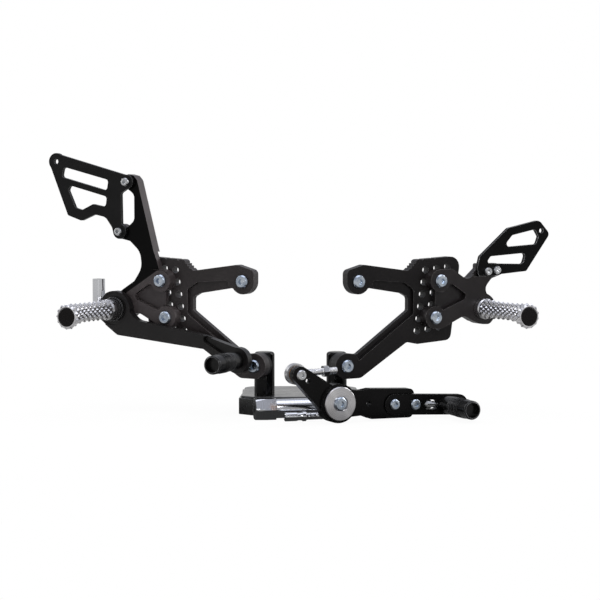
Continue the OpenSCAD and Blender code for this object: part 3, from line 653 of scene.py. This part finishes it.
def grip_teeth_tree() -> RepeatTree:
    """Build the tree that sets rows of pyramid teeth round a waisted peg."""
    sizes = ("First Row", "Row Pitch", "Root Radius", "Waist Radius", "End Radius", "End Drop", "Tooth Width",
             "Tooth Length", "Tooth Height")
    tree = RepeatTree("grip_teeth", ("Rows", "Around"), sizes)
    w, value = tree.w, tree.value
    row, column = tree.places()
    waist = value("Waist Radius")
    stagger = w.times(w.math("MODULO", row, 2.0), 0.5)
    angle = w.over(w.times(w.plus(column, stagger), FULL_TURN), value("Around"))
    middle = w.plus(row, 0.5)
    share = w.over(middle, value("Rows"))
    inner = w.math("SUBTRACT", 1.0, w.over(share, WAIST_SHARE), clamp=True)
    outer = w.math("DIVIDE", w.minus(share, FLARE_START), 1.0 - FLARE_START, clamp=True)
    inner, outer = w.times(inner, inner), w.times(outer, outer)
    near = w.times(inner, w.minus(value("Root Radius"), waist))
    far = w.times(outer, w.minus(value("End Radius"), waist))
    radius = w.plus(waist, w.plus(near, far))
    height = w.plus(value("First Row"), w.times(middle, value("Row Pitch")))
    tooth = tree.pyramid(value("Tooth Width"), 0.22, value("Tooth Height"))
    scale = w.combine(value("Tooth Length"), w.over(radius, waist), 1.0)
    tree.stand_round(tooth, scale, angle, radius, w.times(outer, value("End Drop")), height)
    return tree


def ridge_ring_tree() -> RepeatTree:
    """Build the tree that stands fine ridges round a toe peg, side by side."""
    tree = RepeatTree("ridge_ring", ("Rows", "Around"), ("Row Pitch", "Radius", "Middle", "Length", "Width"))
    w, value = tree.w, tree.value
    row, column = tree.places()
    width = value("Width")
    angle = w.over(w.times(column, FULL_TURN), value("Around"))
    height = w.plus(value("Middle"), w.times(row, value("Row Pitch")))
    ridge = tree.pyramid(width, 0.35, w.times(width, 1.1))
    square = w.fill(w.add("GeometryNodeTransform"), Geometry=ridge, Rotation=(0.0, 0.0, math.radians(45.0)))
    scale = w.combine(w.over(value("Length"), w.times(width, math.sqrt(2.0))), 1.0, 1.0)
    tree.stand_round(square.outputs[0], scale, angle, value("Radius"), 0.0, height)
    return tree


def thread_tree() -> RepeatTree:
    """Build the tree that winds a screw thread's ridge round a shank."""
    tree = RepeatTree("thread", (), ("Turns", "Radius", "Length", "Ridge"))
    w, value = tree.w, tree.value
    radius = value("Radius")
    path = w.fill(w.add("GeometryNodeCurveSpiral"), Resolution=28, Rotations=value("Turns"))
    w.fill(path, Height=value("Length"), Start_Radius=radius, End_Radius=radius)
    section = w.fill(w.add("GeometryNodeCurvePrimitiveCircle"), Resolution=4, Radius=value("Ridge"))
    sweep = w.fill(w.add("GeometryNodeCurveToMesh"), Curve=path.outputs[0], Profile_Curve=section.outputs[0])
    tree.close(w.fill(sweep, Fill_Caps=True).outputs[0])
    return tree


# Mesh work


def placed(name: str, data: bpy.types.ID) -> bpy.types.Object:
    """Make an object of its data and link it to the scene."""
    obj = bpy.data.objects.new(name, data)
    bpy.context.scene.collection.objects.link(obj)
    return obj


def data_of(bm: bmesh.types.BMesh, name: str) -> bpy.types.Mesh:
    """Return mesh data with a working mesh's shape, and free the working mesh."""
    mesh = bpy.data.meshes.new(name)
    bm.to_mesh(mesh)
    bm.free()
    return mesh


def lathe(profile: Sequence[tuple[float, ...]], segments: int, datum: Datum) -> bmesh.types.BMesh:
    """Turn a profile round a frame's n axis.

    Args:
        profile: radius, height and an optional drop against v, in millimetres, from one end to the other.
        segments: faces round the axis.
        datum: frame whose n is the axis.

    Returns:
        The closed mesh, in metres.
    """
    bm = bmesh.new()
    rings: list[list[bmesh.types.BMVert]] = []
    for radius, height, *rest in profile:
        drop = rest[0] if rest else 0.0
        if radius == 0.0:
            rings.append([bm.verts.new((0.0, -drop, height))])
            continue
        turns = (FULL_TURN * i / segments for i in range(segments))
        round_axis = [(radius * math.cos(t), radius * math.sin(t) - drop, height) for t in turns]
        rings.append([bm.verts.new(place) for place in round_axis])
    for low, high in zip(rings, rings[1:]):
        for i in range(segments):
            j = (i + 1) % segments
            corners = [low[i % len(low)], low[j % len(low)], high[j % len(high)], high[i % len(high)]]
            bm.faces.new(list(dict.fromkeys(corners)))
    bm.transform(datum.matrix())
    bmesh.ops.recalc_face_normals(bm, faces=bm.faces)
    return bm


@dataclass
class Bench:
    """What the sub-assemblies share: the loaded frame, the finishes and the repeating trees."""

    frame: dict
    groups: ShaderGroups = field(default_factory=ShaderGroups)
    made: dict[str, Material] = field(default_factory=dict)
    teeth: RepeatTree = field(default_factory=grip_teeth_tree)
    ridges: RepeatTree = field(default_factory=ridge_ring_tree)
    thread: RepeatTree = field(default_factory=thread_tree)

    def material(self, finish: Finish) -> Material:
        """Return a finish's material, made on first use."""
        if finish.name not in self.made:
            self.made[finish.name] = finish.build(self.groups)
        return self.made[finish.name]

    def body_of(self, node: str) -> str:
        """Return the body that a CAD node rides on."""
        return self.frame["nodes"][node]["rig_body"]

    def welded(self, node: str) -> bmesh.types.BMesh:
        """Return a CAD node's shape as a closed mesh with its flat faces joined."""
        bm = bmesh.new()
        bm.from_mesh(self.frame["nodes"][node].data)
        bmesh.ops.remove_doubles(bm, verts=bm.verts, dist=WELD_DISTANCE)
        bmesh.ops.dissolve_limit(
            bm, angle_limit=FLAT_ANGLE, verts=bm.verts, edges=bm.edges, use_dissolve_boundaries=False
        )
        return bm

    @staticmethod
    def chamfer(bm: bmesh.types.BMesh, width: float, segments: int) -> None:
        """Round the sharp convex edges and mark the new faces.

        Args:
            bm: the mesh to work on.
            width: width of the chamfer in metres.
            segments: faces across a chamfer.
        """
        layer = bm.faces.layers.float.get(CHAMFER) or bm.faces.layers.float.new(CHAMFER)
        convex = (e for e in bm.edges if len(e.link_faces) == 2 and e.is_convex)
        edges = [e for e in convex if e.calc_face_angle(0.0) > SHARP_ANGLE]
        result = bmesh.ops.bevel(
            bm, geom=edges, offset=width, offset_type="WIDTH", segments=segments, profile=0.5,
            affect="EDGES", clamp_overlap=True, miter_outer="SHARP", miter_inner="SHARP",
        )
        for face in result["faces"]:
            face[layer] = 1.0

    def piece(
        self, name: str, mesh: bpy.types.Mesh, finish: Finish, node: str, stands_for: bool = True
    ) -> None:
        """Turn mesh data into a piece that rides with a node's body.

        Args:
            name: the piece's name.
            mesh: its mesh data.
            finish: its finish.
            node: the CAD node whose body it takes.
            stands_for: whether the node is hidden and this piece shown for it. Its large faces then keep
                their own shading.
        """
        mesh.name = name
        mesh.materials.clear()
        mesh.materials.append(self.material(finish))
        mesh.shade_smooth()
        mesh.set_sharp_from_angle(angle=SMOOTH_ANGLE)
        obj = placed(name, mesh)
        if stands_for:
            modifier = obj.modifiers.new("face_weights", "WEIGHTED_NORMAL")
            modifier.keep_sharp = True
            modifier.weight = FACE_WEIGHT
        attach(obj, self.body_of(node))
        if stands_for:
            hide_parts(node)
        LOG.info("%s: %d faces on %s", name, len(mesh.polygons), self.body_of(node))

    def dress(self, finish: Finish, width: float, *nodes: str, segments: int = 2) -> None:
        """Show CAD nodes with chamfered edges in place of their plain solids.

        Args:
            finish: their finish.
            width: width of the chamfers, in millimetres.
            nodes: the CAD nodes.
            segments: faces across a chamfer.
        """
        for node in nodes:
            bm = self.welded(node)
            self.chamfer(bm, width * MM, segments)
            name = f"{node}_machined"
            self.piece(name, data_of(bm, name), finish, node)

    def repeat(
        self, tree: RepeatTree, name: str, finish: Finish, node: str, datum: Datum, **values: object
    ) -> None:
        """Add a piece that a repeating tree makes.

        Args:
            tree: the tree.
            name: the piece's name.
            finish: its finish.
            node: the CAD node whose body it takes.
            datum: frame that the tree's millimetres stand in.
            values: the tree's inputs by name, with underscores for spaces.
        """
        mesh = tree.make(name, datum, Material=self.material(finish), **values)
        self.piece(name, mesh, finish, node, False)


# Finishes of this object
# Each side's bracket, carrier and guard. The photograph shows every plate at another angle to its lamps.
# Painted light and shade: these are lit and shaded copies of one anodised black, lighter or darker for each
# plate's angle to the lamps.
PLATE_LIT_AND_SHADED_BLACKS = {
    Side.LEFT: (
        Anodised("left_bracket_anodised", (0.021, 0.0175, 0.018), 0.34, (0.24, 0.225, 0.225), specular=0.3),
        StemmedAnodised("carrier_anodised", (0.046, 0.0385, 0.0395), 0.36, (0.24, 0.225, 0.225),
                        specular=0.34, bolt=Side.LEFT.bracket().moved(*CARRIER_BOLT)),
        Anodised("left_guard_anodised", (0.0028, 0.0026, 0.0028), 0.33, (0.24, 0.24, 0.245), specular=0.21),
    ),
    Side.RIGHT: (
        Anodised("right_bracket_anodised", (0.0062, 0.0052, 0.0055), 0.34, specular=0.2),
        Anodised("bracket_anodised", (0.0125, 0.0104, 0.0107), 0.34, (0.22, 0.21, 0.21), specular=0.28),
        Anodised("right_guard_anodised", (0.0012, 0.0012, 0.0013), 0.3, (0.3, 0.3, 0.305), edge_amount=1.0,
                 specular=0.11),
    ),
}
PEDAL_BLACK = Anodised("pedal_anodised", (0.0075, 0.0066, 0.0068), 0.33, specular=0.3)
LEVER_BLACK = Anodised("lever_anodised", (0.0014, 0.0012, 0.0013), 0.28, (0.2, 0.2, 0.205), specular=0.14)
POST_BLACK = Anodised("post_anodised", (0.0008, 0.0008, 0.001), 0.14, (0.12, 0.12, 0.12), specular=0.16)
TOE_BLACK = Anodised("toe_peg_anodised", (0.0014, 0.0014, 0.0015), 0.25, (0.16, 0.16, 0.165), specular=0.3)
CAP_SATIN = Anodised("cap_satin", (0.0026, 0.0018, 0.0018), 0.42, (0.09, 0.08, 0.08), specular=0.16)
BASE_GLOSS = GlossPaint("base_gloss", (0.012, 0.012, 0.0125), 0.22)
SCREW_ZINC = PlatedSteel("screw_zinc", (0.62, 0.68, 0.75), 0.2, (0.24, 0.31, 0.42))
SCREW_PLAIN = PlatedSteel("screw_plain", (0.66, 0.67, 0.68), 0.2, (0.42, 0.42, 0.43))
BRONZE = PlatedSteel("bronze", (0.78, 0.46, 0.27), 0.5, (0.6, 0.34, 0.19), 0.5)


# Sub-assemblies


@dataclass
class DisplayBase:
    """The gloss block, its two posts and the spacers that carry the brackets."""

    block_chamfer: float = 0.9
    post_chamfer: float = 0.5

    def build(self, bench: Bench) -> None:
        """Dress the base, posts and spacers."""
        bench.dress(BASE_GLOSS, self.block_chamfer, "base_block", segments=3)
        for side in Side:
            bench.dress(POST_BLACK, self.post_chamfer, f"{side.word}_post")
            bench.dress(LEVER_BLACK, self.post_chamfer, f"{side.word}_spacer")


@dataclass
class BracketSide:
    """One side of the pair: frame bracket, peg carrier, heel guard and their screws."""

    side: Side
    plate_chamfer: float = 0.55
    guard_chamfer: float = 0.4
    screw_chamfer: float = 0.3

    def build(self, bench: Bench) -> None:
        """Dress the plates and screws of one side."""
        word = self.side.word
        bracket, carrier, guard = PLATE_LIT_AND_SHADED_BLACKS[self.side]
        bench.dress(bracket, self.plate_chamfer, f"{word}_frame_bracket")
        bench.dress(carrier, self.plate_chamfer, f"{word}_peg_carrier")
        bench.dress(guard, self.guard_chamfer, f"{word}_heel_guard")
        bench.dress(SCREW_ZINC, self.screw_chamfer, f"{word}_frame_bolts", f"{word}_carrier_bolts")
        bench.dress(SCREW_PLAIN, self.screw_chamfer, f"{word}_guard_bolts")


@dataclass
class GripPeg:
    """A foot peg: turned core, rows of pyramid teeth, end cap and pivot bolt."""

    side: Side
    root_height: float
    length: float = 85.0
    root: float = 9.0
    root_radius: float = 8.8
    waist: float = 7.4
    end: float = 11.6
    drop: float = 2.6
    cap: float = 9.3
    recess: float = 2.0
    collar: float = 1.6
    collar_bevel: float = 0.5
    rows: int = 18
    around: int = 13
    sunk: float = 0.4
    segments: int = 72
    steps: int = 36

    def ring(self, share: float, height: float) -> Triple:
        """Return the core's ring at a share of the grip's length: radius, height and drop."""
        inner = max(0.0, 1.0 - share / WAIST_SHARE) ** 2
        outer = max(0.0, (share - FLARE_START) / (1.0 - FLARE_START)) ** 2
        radius = self.waist + (self.root_radius - self.waist) * inner + (self.end - self.waist) * outer
        return (radius, height, self.drop * outer)

    def profile(self, grip: float) -> list[tuple[float, ...]]:
        """Return the core's profile: the collar at the root, the grip and the socket of the end cap."""
        wide, root, length, drop = self.root_radius, self.root, self.length, self.drop
        proud, bevel = wide + self.collar, self.collar_bevel
        collar = [(0.0, 0.0), (proud - bevel, 0.0), (proud, bevel), (proud, 0.72 * root),
                  (proud - bevel, 0.82 * root), (wide + 0.4, 0.9 * root)]
        shares = (i / self.steps for i in range(self.steps + 1))
        floor = length - self.recess
        socket = [(self.end - 0.3, length - 1.7, drop), (self.cap + 0.7, length, drop),
                  (self.cap, length, drop), (self.cap, floor, drop), (0.0, floor, drop)]
        return collar + [self.ring(share, root + grip * share) for share in shares] + socket

    def build(self, bench: Bench) -> None:
        """Build the peg's core and teeth and dress its cap and bolt."""
        word = self.side.word
        node = f"{word}_foot_peg"
        axis = self.side.bracket().moved(*PEG_ROOT, self.root_height)
        finish = TurnedMetal(f"{word}_peg_metal", (0.9, 0.89, 0.9), 0.26, axis, lines=2600.0, dirt=0.2)
        grip = self.length - self.root - self.recess
        core = lathe(self.profile(grip), self.segments, axis)
        bench.piece(f"{word}_peg_core", data_of(core, node), finish, node)
        bench.repeat(
            bench.teeth, f"{word}_peg_teeth", finish, node, axis, Rows=self.rows, Around=self.around,
            First_Row=self.root, Row_Pitch=(grip + 1.6) / self.rows, Root_Radius=self.root_radius - self.sunk,
            Waist_Radius=self.waist - self.sunk, End_Radius=self.end - self.sunk, End_Drop=self.drop,
            Tooth_Width=1.85, Tooth_Length=1.6, Tooth_Height=1.7)
        bench.dress(CAP_SATIN, 0.35, f"{word}_peg_cap", segments=3)
        bench.dress(SCREW_ZINC, 0.3, f"{word}_peg_bolt")


@dataclass
class ToePeg:
    """A black toe peg with fine ridges round its grip."""

    node: str
    datum: Datum
    length: float = 50.0
    radius: float = 9.0

    def build(self, bench: Bench) -> None:
        """Dress the peg and stand its ridges."""
        bench.dress(TOE_BLACK, 0.4, self.node)
        bench.repeat(
            bench.ridges, f"{self.node}_ridges", TOE_BLACK, self.node, self.datum, Rows=6, Around=44,
            Row_Pitch=2.2, Radius=self.radius - 0.1, Middle=self.length - 24.0, Length=1.5, Width=0.5)


@dataclass
class BrakeSide:
    """The brake pedal with its bush and toe peg, and the push rod's fork."""

    fork: Triple = (165.5, 50.5, 16.65)
    toe: Triple = (8.3, 7.2, 21.0)

    def build(self, bench: Bench) -> None:
        """Dress the pedal's pieces."""
        bracket = Side.LEFT.bracket()
        bench.dress(PEDAL_BLACK, 0.6, "brake_pedal")
        bench.dress(LEVER_BLACK, 0.3, "pedal_washer")
        bench.dress(BRONZE, 0.2, "pedal_bush")
        bench.dress(SCREW_PLAIN, 0.25, "brake_toe_bolt")
        axis = bracket.moved(*self.fork).along((0.0, 1.0, 0.0), (1.0, 0.0, 0.0))
        steel = TurnedMetal("fork_steel", (0.86, 0.87, 0.9), 0.1, axis, lines=2200.0)
        bench.dress(steel, 0.35, "push_rod_fork")
        bench.dress(SCREW_ZINC, 0.25, "fork_pin")
        ToePeg("brake_toe_peg", bracket.moved(*self.toe)).build(bench)


@dataclass
class ShiftSide:
    """The shift lever with its hub, its extension and toe peg."""

    slope: float = 3.0
    joint: Triple = (58.0, -3.7, 0.5)
    reach: float = 56.5

    def build(self, bench: Bench) -> None:
        """Dress the lever's pieces."""
        hub = toed_datum(HUB)
        bench.dress(LEVER_BLACK, 0.5, "shift_lever", "shift_extension")
        disc = TurnedMetal("hub_disc_metal", (0.78, 0.765, 0.775), 0.26, hub, lines=2400.0, dirt=0.1,
                           depth=0.00001, streak=0.9)
        bench.dress(disc, 0.3, "hub_disc", segments=3)
        race = TurnedMetal("bearing_steel", (0.6, 0.61, 0.62), 0.2, hub)
        bench.dress(race, 0.2, "front_hub_bearing", "rear_hub_bearing", "pivot_sleeve")
        bench.dress(SCREW_ZINC, 0.3, "pivot_bolt")
        bench.dress(SCREW_ZINC, 0.25, "extension_bolts")
        bench.dress(SCREW_PLAIN, 0.25, "shift_toe_bolt", "toe_clamp_screw")
        a = math.radians(self.slope)
        arm = hub.moved(*self.joint).along(UP, (math.cos(a), -math.sin(a), 0.0))
        ToePeg("shift_toe_peg", arm.moved(self.reach, 0.0, 0.0)).build(bench)


@dataclass
class RodEnd:
    """The spherical rod end with its bronze race, ball, bolt and threaded stud."""

    rise: float = 2.3
    eye: Triple = (-38.5, 28.3, -15.5)
    thread_start: float = 18.0

    def build(self, bench: Bench) -> None:
        """Dress the rod end and wind its thread."""
        a = math.radians(self.rise)
        eye = toed_datum(HUB).moved(*self.eye)
        stud = eye.along((math.cos(a), math.sin(a), 0.0), UP)
        steel = TurnedMetal("rod_end_steel", (0.84, 0.84, 0.85), 0.36, stud, lines=1800.0, dirt=0.15)
        bench.dress(steel, 0.35, "rod_end_housing")
        bench.dress(BRONZE, 0.15, "rod_end_race")
        bench.dress(TurnedMetal("ball_steel", (0.8, 0.8, 0.81), 0.08, eye), 0.2, "rod_end_ball")
        bench.dress(SCREW_PLAIN, 0.3, "rod_end_bolt", "rod_end_nut", "lock_nut")
        bench.repeat(
            bench.thread, "stud_thread", steel, "rod_end_housing", stud.moved(0.0, 0.0, self.thread_start),
            Turns=24.0, Radius=2.8, Length=24.0, Ridge=0.42)


@dataclass
class LooseRods:
    """The hexagon-ended bar and the adjuster rod that lie on the table."""

    bar: Datum = field(default_factory=lambda: floor_datum((-43.8, -77.5, 10.0), 12.5))
    rod: Datum = field(default_factory=lambda: floor_datum((-15.0, -93.5, 4.6), 15.5))
    thread_start: float = 22.0

    def build(self, bench: Bench) -> None:
        """Dress the two loose rods."""
        smooth = {"lines": 900.0, "depth": 0.000004}
        plain = TurnedMetal("bar_aluminium", (0.78, 0.79, 0.82), 0.16, self.bar, dirt=0.15, **smooth)
        chrome = TurnedMetal("adjuster_chrome", (0.8, 0.81, 0.83), 0.12, self.rod, dirt=0.1, **smooth)
        bench.dress(plain, 0.5, "extension_bar")
        bench.dress(chrome, 0.3, "adjuster_rod")
        start = self.rod.moved(0.0, 0.0, self.thread_start)
        bench.repeat(
            bench.thread, "adjuster_thread", chrome, "adjuster_rod", start,
            Turns=20.0, Radius=2.95, Length=20.0, Ridge=0.5)


# Studio


@dataclass(frozen=True)
class Lamp:
    """A rectangular area lamp that faces the object's middle. Gloss shows it if it is mirrored."""

    name: str
    place: Triple
    size: tuple[float, float]
    power: float
    mirrored: bool = True
    target: Triple = (0.0, 0.0, 0.1)

    def hang(self) -> None:
        """Add the lamp to the scene."""
        data = bpy.data.lights.new(self.name, "AREA")
        data.shape = "RECTANGLE"
        data.size, data.size_y = self.size
        data.energy = self.power
        lamp = placed(self.name, data)
        lamp.visible_glossy = self.mirrored
        lamp.location = self.place
        lamp.rotation_euler = (Vector(self.target) - Vector(self.place)).to_track_quat("-Z", "Y").to_euler()


LAMPS = (
    Lamp("top_box", (0.0, -0.25, 1.5), (1.6, 0.9), 16.0, mirrored=False),
    Lamp("left_strip", (-1.3, 0.4, 0.75), (0.35, 1.1), 9.0),
    Lamp("right_strip", (1.3, 0.4, 0.75), (0.35, 1.1), 9.0),
    Lamp("key_box", (0.45, -1.2, 0.75), (0.3, 0.3), 2.5),
)


@dataclass
class Studio:
    """Camera, lamps, white world and the table that keeps the object's shadow.

    The ramps say where a field of light begins and ends and how bright it is there. Those of the world
    go by the direction that gloss looks in, those of the table by the distance from its middle in metres.
    """

    distance: float = 1.595
    height: float = 0.2072
    pitch: float = 86.5
    lens: float = 96.0
    zenith: Ramp = (0.84, 0.94, 0.0, 1.6)
    behind: Ramp = (0.05, 0.5, 0.0, 0.5)
    flanks: Ramp = (0.45, 0.72, 0.4, 0.6)
    flags: Ramp = (0.88, 0.95, 0.6, 0.18)
    ahead: Ramp = (0.965, 0.985, 0.0, 1.5)
    cool: Ramp = (0.15, 0.45, 0.0, 1.0)
    cool_tint: Colour = (0.92, 0.95, 1.06)
    fill_light: float = 0.3
    backdrop: Ramp = (0.3, 0.6, 0.95, 1.0)
    mirrored: Ramp = (0.12, 0.27, 0.04, 0.55)
    table_size: float = 6.0
    table_grey: float = 0.86

    def camera(self) -> None:
        """Put the camera at the photograph's place and angle."""
        data = bpy.data.cameras.new("camera")
        data.sensor_width = 36.0
        data.lens = self.lens
        data.shift_x = -0.5 / IMAGE_SIZE
        data.clip_start = 0.05
        data.clip_end = 50.0
        camera = placed("camera", data)
        camera.location = (0.0, -self.distance, self.height)
        camera.rotation_euler = (math.radians(self.pitch), 0.0, 0.0)
        bpy.context.scene.camera = camera

    def world(self) -> None:
        """Make the world white to the camera, a room of soft fields to gloss, and dim as a lamp."""
        world = bpy.data.worlds.new("studio")
        world.use_nodes = True
        world.node_tree.nodes.clear()
        bpy.context.scene.world = world
        w = Wiring(world.node_tree)
        ray = w.add("ShaderNodeLightPath").outputs
        way = w.fill(w.add("ShaderNodeSeparateXYZ"), w.add("ShaderNodeTexCoord").outputs["Generated"]).outputs
        side = w.math("ABSOLUTE", way[0])
        flanks = w.math("MINIMUM", w.spread(side, *self.flanks), w.spread(side, *self.flags))
        ahead = w.spread(w.times(way[1], -1.0), *self.ahead)
        room = w.most(w.spread(way[2], *self.zenith), w.spread(way[1], *self.behind), flanks, ahead)
        seen = w.most(ray["Is Camera Ray"], ray["Is Transmission Ray"])
        lit = w.times(w.minus(1.0, ray["Is Glossy Ray"]), self.fill_light)
        strength = w.most(seen, w.times(ray["Is Glossy Ray"], room), lit)
        cool = w.times(ray["Is Glossy Ray"], w.spread(way[2], *self.cool))
        sky = w.add("ShaderNodeBackground")
        w.fill(sky, Color=w.blend(cool, (1.0, 1.0, 1.0), self.cool_tint), Strength=strength)
        w.fill(w.add("ShaderNodeOutputWorld"), Surface=sky.outputs[0])

    def table(self) -> None:
        """Lay the white table, which is white to the camera but keeps a soft shadow."""
        bm = bmesh.new()
        bmesh.ops.create_grid(bm, x_segments=1, y_segments=1, size=self.table_size)
        material = bpy.data.materials.new("table_white")
        material.use_nodes = True
        material.node_tree.nodes.clear()
        w = Wiring(material.node_tree)
        ray = w.add("ShaderNodeLightPath").outputs
        reach = w.vector("LENGTH", w.add("ShaderNodeTexCoord").outputs["Object"])["Value"]
        watched = w.times(ray["Is Camera Ray"], w.spread(reach, *self.backdrop))
        seen = w.most(watched, ray["Is Glossy Ray"], ray["Is Transmission Ray"])
        matt = w.fill(w.add("ShaderNodeBsdfDiffuse"), Color=(*[self.table_grey] * 3, 1.0))
        glow = w.add("ShaderNodeEmission")
        w.fill(glow, Strength=w.spread(ray["Is Glossy Ray"], 0.0, 1.0, 1.0, w.spread(reach, *self.mirrored)))
        mix = w.fill(w.add("ShaderNodeMixShader"), seen)
        w.put(mix.inputs[1], matt.outputs[0])
        w.put(mix.inputs[2], glow.outputs[0])
        w.fill(w.add("ShaderNodeOutputMaterial"), Surface=mix.outputs[0])
        table = placed("table", data_of(bm, "table"))
        table.data.materials.append(material)

    def build(self) -> None:
        """Set up the whole studio."""
        bpy.context.scene.view_settings.view_transform = "Standard"
        self.camera()
        self.world()
        self.table()
        for lamp in LAMPS:
            lamp.hang()


def main() -> None:
    """Build every sub-assembly in order."""
    logging.basicConfig(level=logging.INFO, format="%(name)s %(message)s")
    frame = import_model()
    bench = Bench(frame)
    Studio().build()
    DisplayBase().build(bench)
    for side in Side:
        BracketSide(side).build(bench)
    GripPeg(Side.LEFT, 23.9, 82.4, root=14.5, waist=8.3, rows=17).build(bench)
    GripPeg(Side.RIGHT, 12.0).build(bench)
    BrakeSide().build(bench)
    ShiftSide().build(bench)
    RodEnd().build(bench)
    LooseRods().build(bench)


if __name__ == "__main__":
    main()
